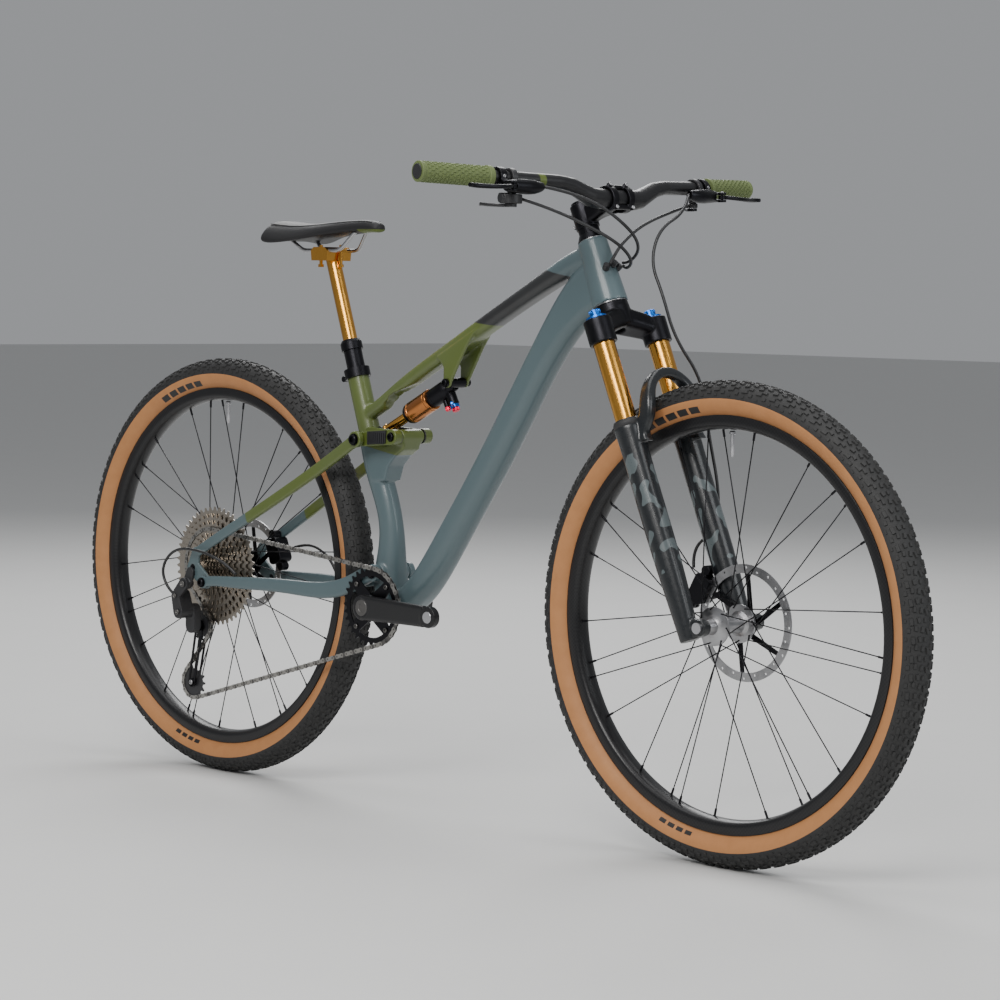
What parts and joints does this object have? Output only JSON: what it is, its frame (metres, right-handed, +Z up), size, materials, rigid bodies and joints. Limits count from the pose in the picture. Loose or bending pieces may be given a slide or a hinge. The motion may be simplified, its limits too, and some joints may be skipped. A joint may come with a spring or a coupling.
{
  "type": "mountain bike",
  "caption": "Full-suspension mountain bike with a single-crown fork, rocker-driven shock, dropper post, disc brakes and a single-chainring drivetrain.",
  "frame": {"origin": "on the ground midway between the wheel axles, in the middle plane", "axes": "+X forward, +Y to the rider's left, +Z up"},
  "size_m": [1.9008, 0.7642, 1.0567],
  "materials": {
    "frame_paint": "satin paint on moulded carbon",
    "black_carbon": "satin carbon",
    "anodised_black": "anodised",
    "bare_alloy": "machined",
    "steel": "brushed",
    "gold_coat": "gold anodised",
    "copper_coat": "copper anodised",
    "stay_paint": "satin paint on moulded carbon",
    "lever_blue": "anodised blue",
    "black_plastic": "moulded",
    "fork_paint": "gloss dark paint on cast metal",
    "grip_rubber": "olive moulded rubber",
    "hose_rubber": "smooth jacket",
    "tyre_rubber": "knobbed, tan side walls",
    "saddle_cover": "padded synthetic cover",
    "cassette_steel": "plated"
  },
  "bodies": {
    "frame": {"main_frame": "frame_paint", "headset_bearings": "steel", "bottom_bracket_cups": "anodised_black", "cable_ports": "black_plastic", "frame_pivot_axles": "anodised_black", "seat_clamp": "anodised_black", "dropper_outer": "anodised_black", "steering_hoses": "hose_rubber"},
    "crankset": {"crank_arm_right": "black_carbon", "crank_arm_left": "black_carbon", "chainring": "anodised_black"},
    "chain_top_run": {"chain_top": "steel"},
    "chain_bottom_run": {"chain_bottom": "steel"},
    "chainstay_arm": {"chainstay": "frame_paint"},
    "seatstay_arm": {"seatstay": "stay_paint", "stay_pivot_bolts": "anodised_black", "rear_axle": "anodised_black", "derailleur_body": "black_plastic", "rear_caliper": "anodised_black", "rear_hoses": "hose_rubber", "chain_cassette": "steel"},
    "derailleur_arm": {"derailleur_cage": "anodised_black"},
    "upper_jockey": {"upper_pulley": "black_plastic"},
    "lower_jockey": {"lower_pulley": "black_plastic"},
    "rear_wheel": {"rear_tyre": "tyre_rubber", "rear_rim": "black_carbon", "rear_spokes": "anodised_black", "rear_hub": "anodised_black", "rear_rotor": "steel"},
    "cassette": {"cassette": "cassette_steel"},
    "front_wheel": {"front_tyre": "tyre_rubber", "front_rim": "black_carbon", "front_spokes": "anodised_black", "front_hub": "anodised_black", "front_rotor": "steel"},
    "fork_lower": {"fork_lowers": "fork_paint", "front_axle": "bare_alloy", "front_caliper": "anodised_black", "front_brake_hose": "hose_rubber"},
    "steering": {"fork_crown": "anodised_black", "stanchions": "gold_coat", "fork_top_caps": "lever_blue", "headset_spacers": "anodised_black", "stem": "anodised_black", "handlebar": "black_carbon", "grips": "grip_rubber", "brake_bodies": "anodised_black", "control_bodies": "black_plastic"},
    "right_brake_lever": {"right_brake_lever": "anodised_black"},
    "left_brake_lever": {"left_brake_lever": "anodised_black"},
    "shift_lever": {"shift_lever": "black_plastic"},
    "dropper_lever": {"dropper_lever": "anodised_black"},
    "shock_body": {"shock_body": "copper_coat"},
    "shock_shaft": {"shock_shaft": "copper_coat"},
    "shock_lever": {"shock_lever": "lever_blue"},
    "seatpost": {"dropper_inner": "gold_coat", "saddle": "saddle_cover", "saddle_rails": "steel"},
    "rocker": {"rocker_link": "stay_paint", "rocker_covers": "black_plastic"}
  },
  "joints": [
    {"name": "steering", "type": "hinge", "parent": "frame", "child": "steering", "pos_m": [0.32119, 0, 0.86829], "axis": [-0.3907, 0, 0.9205], "range_deg": [-75, 75], "deforming": ["steering_hoses"]},
    {"name": "fork_travel", "type": "slide", "parent": "steering", "child": "fork_lower", "axis": [-0.3907, 0, 0.9205], "range_m": [0, 0.12], "stiffness_N_per_m": 6000, "deforming": ["front_brake_hose"]},
    {"name": "front_wheel_spin", "type": "hinge", "parent": "fork_lower", "child": "front_wheel", "pos_m": [0.5805, 0, 0.37], "axis": [0, 1, 0], "continuous": true},
    {"name": "suspension", "type": "hinge", "parent": "frame", "child": "chainstay_arm", "pos_m": [-0.157, 0, 0.392], "axis": [0, 1, 0], "range_deg": [0, 16], "stiffness_Nm_per_rad": 900},
    {"name": "seatstay_pivot", "type": "hinge", "parent": "chainstay_arm", "child": "seatstay_arm", "pos_m": [-0.545, 0, 0.347], "axis": [0, 1, 0], "range_deg": [-9.71, 0.2], "deforming": ["rear_hoses"]},
    {"name": "rocker_pivot", "type": "hinge", "parent": "frame", "child": "rocker", "pos_m": [-0.117, 0, 0.622], "axis": [0, 1, 0], "range_deg": [-0.5, 60.69]},
    {"name": "shock_pivot", "type": "hinge", "parent": "frame", "child": "shock_body", "pos_m": [-0.008, 0, 0.7155], "axis": [0, 1, 0], "range_deg": [-0.3, 12.21]},
    {"name": "shock_stroke", "type": "slide", "parent": "shock_body", "child": "shock_shaft", "axis": [0.8849, 0, 0.4659], "range_m": [-0.0003, 0.05119]},
    {"name": "rear_wheel_spin", "type": "hinge", "parent": "seatstay_arm", "child": "rear_wheel", "pos_m": [-0.5805, 0, 0.37], "axis": [0, 1, 0], "continuous": true},
    {"name": "crank_spin", "type": "hinge", "parent": "frame", "child": "crankset", "pos_m": [-0.15, 0, 0.336], "axis": [0, 1, 0], "continuous": true},
    {"name": "cassette_spin", "type": "hinge", "parent": "seatstay_arm", "child": "cassette", "pos_m": [-0.5805, 0, 0.37], "axis": [0, 1, 0], "continuous": true},
    {"name": "chain_top_swing", "type": "hinge", "parent": "frame", "child": "chain_top_run", "pos_m": [-0.15, 0, 0.336], "axis": [0, 1, 0], "range_deg": [-0.3, 14.8]},
    {"name": "chain_bottom_swing", "type": "hinge", "parent": "frame", "child": "chain_bottom_run", "pos_m": [-0.15, 0, 0.336], "axis": [0, 1, 0], "range_deg": [-0.3, 14.66]},
    {"name": "cage_pivot", "type": "hinge", "parent": "seatstay_arm", "child": "derailleur_arm", "pos_m": [-0.603, 0, 0.262], "axis": [0, 1, 0], "range_deg": [-0.3, 6.74]},
    {"name": "upper_pulley_spin", "type": "hinge", "parent": "derailleur_arm", "child": "upper_jockey", "pos_m": [-0.603, 0, 0.262], "axis": [0, 1, 0], "continuous": true},
    {"name": "lower_pulley_spin", "type": "hinge", "parent": "derailleur_arm", "child": "lower_jockey", "pos_m": [-0.624, 0, 0.158], "axis": [0, 1, 0], "continuous": true},
    {"name": "dropper_travel", "type": "slide", "parent": "frame", "child": "seatpost", "axis": [-0.3173, 0, 0.9483], "range_m": [-0.12, 0]},
    {"name": "right_brake_lever_pull", "type": "hinge", "parent": "steering", "child": "right_brake_lever", "pos_m": [0.34734, -0.24319, 1.02331], "axis": [0, 0.0269, 0.9996], "range_deg": [0, 16], "stiffness_Nm_per_rad": 0.6},
    {"name": "left_brake_lever_pull", "type": "hinge", "parent": "steering", "child": "left_brake_lever", "pos_m": [0.34734, 0.24319, 1.02331], "axis": [0, 0.0269, -0.9996], "range_deg": [0, 16], "stiffness_Nm_per_rad": 0.6},
    {"name": "shift_lever_push", "type": "hinge", "parent": "steering", "child": "shift_lever", "pos_m": [0.31764, -0.21604, 0.99857], "axis": [0, -0.0269, -0.9996], "range_deg": [0, 18], "stiffness_Nm_per_rad": 0.2},
    {"name": "dropper_lever_push", "type": "hinge", "parent": "steering", "child": "dropper_lever", "pos_m": [0.30993, 0.21349, 1.00551], "axis": [0, -0.0269, 0.9996], "range_deg": [0, 18], "stiffness_Nm_per_rad": 0.2},
    {"name": "shock_lever_turn", "type": "hinge", "parent": "shock_body", "child": "shock_lever", "pos_m": [-0.01126, 0, 0.67875], "axis": [0.4659, 0, -0.8849], "range_deg": [0, 60]}
  ],
  "couplings": [
    {"joint": "seatstay_pivot", "follows": "suspension", "ratio": -0.5945},
    {"joint": "rocker_pivot", "follows": "suspension", "ratio": 3.7619},
    {"joint": "shock_pivot", "follows": "suspension", "ratio": 0.74442},
    {"joint": "shock_stroke", "follows": "suspension", "m_per_rad": 0.18225},
    {"joint": "chain_top_swing", "follows": "suspension", "ratio": 0.90611},
    {"joint": "chain_bottom_swing", "follows": "suspension", "ratio": 0.89751},
    {"joint": "cage_pivot", "follows": "suspension", "ratio": 0.40233},
    {"joint": "cassette_spin", "follows": "crank_spin", "ratio": 0.9697},
    {"joint": "upper_pulley_spin", "follows": "crank_spin", "ratio": -2.6667},
    {"joint": "lower_pulley_spin", "follows": "crank_spin", "ratio": 2.2857}
  ]
}
